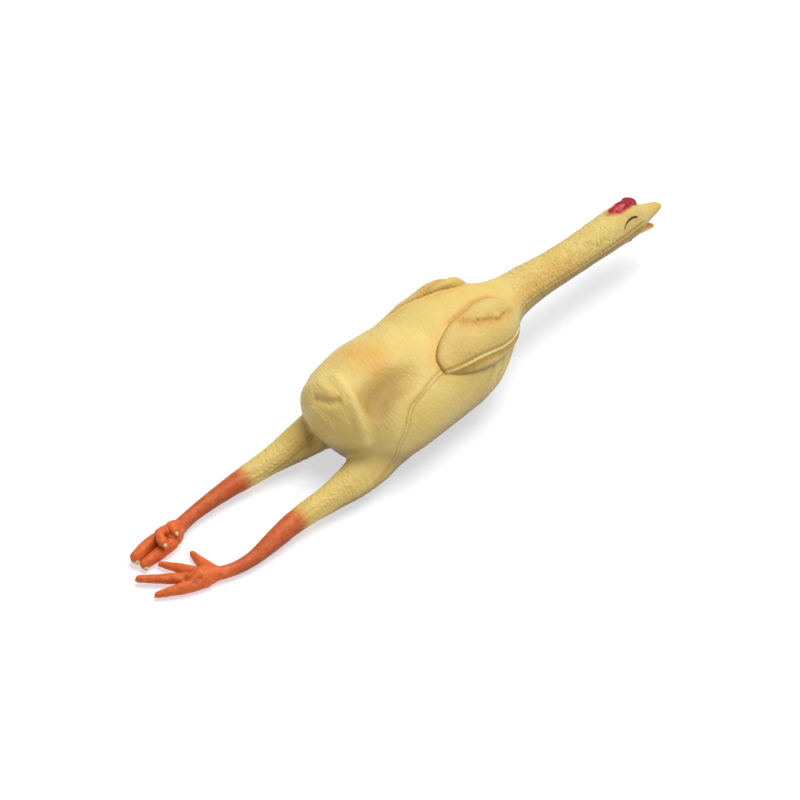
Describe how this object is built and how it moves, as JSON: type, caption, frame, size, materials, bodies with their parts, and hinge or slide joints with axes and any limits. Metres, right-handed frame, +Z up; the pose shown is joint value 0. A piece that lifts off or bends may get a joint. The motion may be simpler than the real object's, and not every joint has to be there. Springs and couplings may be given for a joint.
{
  "type": "rubber chicken",
  "caption": "Limp moulded rubber chicken prop lying on its belly, with a bendable neck, wings, legs and toes and an opening beak.",
  "frame": {"origin": "on the resting surface, under the middle of the whole chicken's bounding box", "axes": "+X towards the beak, +Y to the chicken's left side, +Z up, away from the surface that the belly lies on"},
  "size_m": [0.5288, 0.0984, 0.0836],
  "materials": {
    "skin_yellow": "satin moulded latex, pale yellow with soft orange airbrushing",
    "leg_orange": "satin moulded latex, sprayed orange-red",
    "comb_red": "glossy crimson paint on latex",
    "eye_black": "black painted line on latex",
    "nail_cream": "cream painted latex"
  },
  "bodies": {
    "torso": {"torso_shell": "skin_yellow", "tail": "skin_yellow", "neck_collar": "skin_yellow"},
    "neck_lower": {"neck_lower": "skin_yellow"},
    "neck_middle": {"neck_middle": "skin_yellow"},
    "neck_upper": {"neck_upper": "skin_yellow"},
    "head": {"head_shell": "skin_yellow", "upper_beak": "skin_yellow", "comb": "comb_red", "wattle": "comb_red", "left_eyelid": "eye_black", "right_eyelid": "eye_black"},
    "lower_beak": {"lower_beak": "skin_yellow"},
    "left_wing": {"left_wing": "skin_yellow"},
    "right_wing": {"right_wing": "skin_yellow"},
    "right_thigh_upper": {"right_thigh_upper": "skin_yellow"},
    "right_thigh_lower": {"right_thigh_lower": "skin_yellow"},
    "right_shank": {"right_shank": "leg_orange"},
    "right_foot": {"right_foot": "leg_orange"},
    "right_hind_toe": {"right_hind_toe": "leg_orange", "right_hind_nail": "nail_cream"},
    "right_inner_toe": {"right_inner_toe": "leg_orange", "right_inner_nail": "nail_cream"},
    "right_middle_toe": {"right_middle_toe": "leg_orange", "right_middle_nail": "nail_cream"},
    "right_outer_toe": {"right_outer_toe": "leg_orange", "right_outer_nail": "nail_cream"},
    "left_thigh_upper": {"left_thigh_upper": "skin_yellow"},
    "left_thigh_lower": {"left_thigh_lower": "skin_yellow"},
    "left_shank": {"left_shank": "leg_orange"},
    "left_foot": {"left_foot": "leg_orange"},
    "left_hind_toe": {"left_hind_toe": "leg_orange", "left_hind_nail": "nail_cream"},
    "left_inner_toe": {"left_inner_toe": "leg_orange", "left_inner_nail": "nail_cream"},
    "left_middle_toe": {"left_middle_toe": "leg_orange", "left_middle_nail": "nail_cream"},
    "left_outer_toe": {"left_outer_toe": "leg_orange", "left_outer_nail": "nail_cream"}
  },
  "joints": [
    {"name": "neck_base_bend", "type": "hinge", "parent": "torso", "child": "neck_lower", "pos_m": [0.104, 0, 0.0523], "axis": [0, 1, 0], "range_deg": [-28, 28], "stiffness_Nm_per_rad": 1.6},
    {"name": "neck_sway", "type": "hinge", "parent": "neck_lower", "child": "neck_middle", "pos_m": [0.136, 0, 0.051], "axis": [0, 0, 1], "range_deg": [-28, 28], "stiffness_Nm_per_rad": 1},
    {"name": "neck_bend", "type": "hinge", "parent": "neck_middle", "child": "neck_upper", "pos_m": [0.168, 0, 0.0502], "axis": [0, 1, 0], "range_deg": [-28, 28], "stiffness_Nm_per_rad": 1},
    {"name": "head_sway", "type": "hinge", "parent": "neck_upper", "child": "head", "pos_m": [0.2, 0, 0.05], "axis": [0, 0, 1], "range_deg": [-28, 28], "stiffness_Nm_per_rad": 0.6},
    {"name": "jaw_open", "type": "hinge", "parent": "head", "child": "lower_beak", "pos_m": [0.2325, -0.0005, 0.037], "axis": [0, 1, 0], "range_deg": [-6, 25], "stiffness_Nm_per_rad": 0.02},
    {"name": "right_wing_lift", "type": "hinge", "parent": "torso", "child": "right_wing", "pos_m": [0.02, -0.014, 0.0826], "axis": [-1, 0, 0], "range_deg": [0, 18], "stiffness_Nm_per_rad": 0.15},
    {"name": "left_wing_lift", "type": "hinge", "parent": "torso", "child": "left_wing", "pos_m": [0.02, 0.014, 0.0826], "axis": [1, 0, 0], "range_deg": [0, 18], "stiffness_Nm_per_rad": 0.15},
    {"name": "right_hip_swing", "type": "hinge", "parent": "torso", "child": "right_thigh_upper", "pos_m": [-0.1048, -0.0259, 0.017], "axis": [0, 1, 0], "range_deg": [-20, 20], "stiffness_Nm_per_rad": 1.4},
    {"name": "right_leg_splay", "type": "hinge", "parent": "right_thigh_upper", "child": "right_thigh_lower", "pos_m": [-0.1278, -0.0254, 0.0145], "axis": [0, 0, 1], "range_deg": [0, 30], "stiffness_Nm_per_rad": 1},
    {"name": "right_hock_bend", "type": "hinge", "parent": "right_thigh_lower", "child": "right_shank", "pos_m": [-0.1552, -0.0238, 0.012], "axis": [0, 1, 0], "range_deg": [-35, 35], "stiffness_Nm_per_rad": 0.5},
    {"name": "right_ankle_bend", "type": "hinge", "parent": "right_shank", "child": "right_foot", "pos_m": [-0.2104, -0.0199, 0.006], "axis": [0.4001, 0.9165, 0], "range_deg": [-25, 25], "stiffness_Nm_per_rad": 0.15},
    {"name": "right_hind_toe_bend", "type": "hinge", "parent": "right_foot", "child": "right_hind_toe", "pos_m": [-0.2206, -0.0015, 0.0046], "axis": [0.9668, -0.2557, 0], "range_deg": [-25, 25], "stiffness_Nm_per_rad": 0.01},
    {"name": "right_inner_toe_bend", "type": "hinge", "parent": "right_foot", "child": "right_inner_toe", "pos_m": [-0.2334, 0.0046, 0.005], "axis": [0.8712, 0.491, 0], "range_deg": [-25, 25], "stiffness_Nm_per_rad": 0.01},
    {"name": "right_middle_toe_bend", "type": "hinge", "parent": "right_foot", "child": "right_middle_toe", "pos_m": [-0.2444, -0.0004, 0.0053], "axis": [0.6924, 0.7216, 0], "range_deg": [-25, 25], "stiffness_Nm_per_rad": 0.01},
    {"name": "right_outer_toe_bend", "type": "hinge", "parent": "right_foot", "child": "right_outer_toe", "pos_m": [-0.2444, -0.0095, 0.0044], "axis": [0.4692, 0.8831, 0], "range_deg": [-25, 25], "stiffness_Nm_per_rad": 0.01},
    {"name": "left_hip_swing", "type": "hinge", "parent": "torso", "child": "left_thigh_upper", "pos_m": [-0.1032, 0.0324, 0.018], "axis": [0, 1, 0], "range_deg": [-20, 20], "stiffness_Nm_per_rad": 1.4},
    {"name": "left_leg_splay", "type": "hinge", "parent": "left_thigh_upper", "child": "left_thigh_lower", "pos_m": [-0.1262, 0.0327, 0.0155], "axis": [0, 0, -1], "range_deg": [0, 30], "stiffness_Nm_per_rad": 1},
    {"name": "left_hock_bend", "type": "hinge", "parent": "left_thigh_lower", "child": "left_shank", "pos_m": [-0.1552, 0.0317, 0.012], "axis": [0, 1, 0], "range_deg": [-35, 35], "stiffness_Nm_per_rad": 0.5},
    {"name": "left_ankle_bend", "type": "hinge", "parent": "left_shank", "child": "left_foot", "pos_m": [-0.2072, 0.0307, 0.008], "axis": [-0.204, 0.979, 0], "range_deg": [-25, 25], "stiffness_Nm_per_rad": 0.15},
    {"name": "left_hind_toe_bend", "type": "hinge", "parent": "left_foot", "child": "left_hind_toe", "pos_m": [-0.2162, 0.0304, 0.0194], "axis": [-0.8321, 0.5547, 0], "range_deg": [-8, 25], "stiffness_Nm_per_rad": 0.01},
    {"name": "left_inner_toe_bend", "type": "hinge", "parent": "left_foot", "child": "left_inner_toe", "pos_m": [-0.2295, 0.0288, 0.0182], "axis": [-0.8767, 0.4811, 0], "range_deg": [-25, 25], "stiffness_Nm_per_rad": 0.01},
    {"name": "left_middle_toe_bend", "type": "hinge", "parent": "left_foot", "child": "left_middle_toe", "pos_m": [-0.2362, 0.0318, 0.009], "axis": [-0.0571, 0.9984, 0], "range_deg": [-25, 25], "stiffness_Nm_per_rad": 0.01},
    {"name": "left_outer_toe_bend", "type": "hinge", "parent": "left_foot", "child": "left_outer_toe", "pos_m": [-0.2362, 0.0226, 0.006], "axis": [-0.1159, 0.9933, 0], "range_deg": [-25, 25], "stiffness_Nm_per_rad": 0.01}
  ]
}
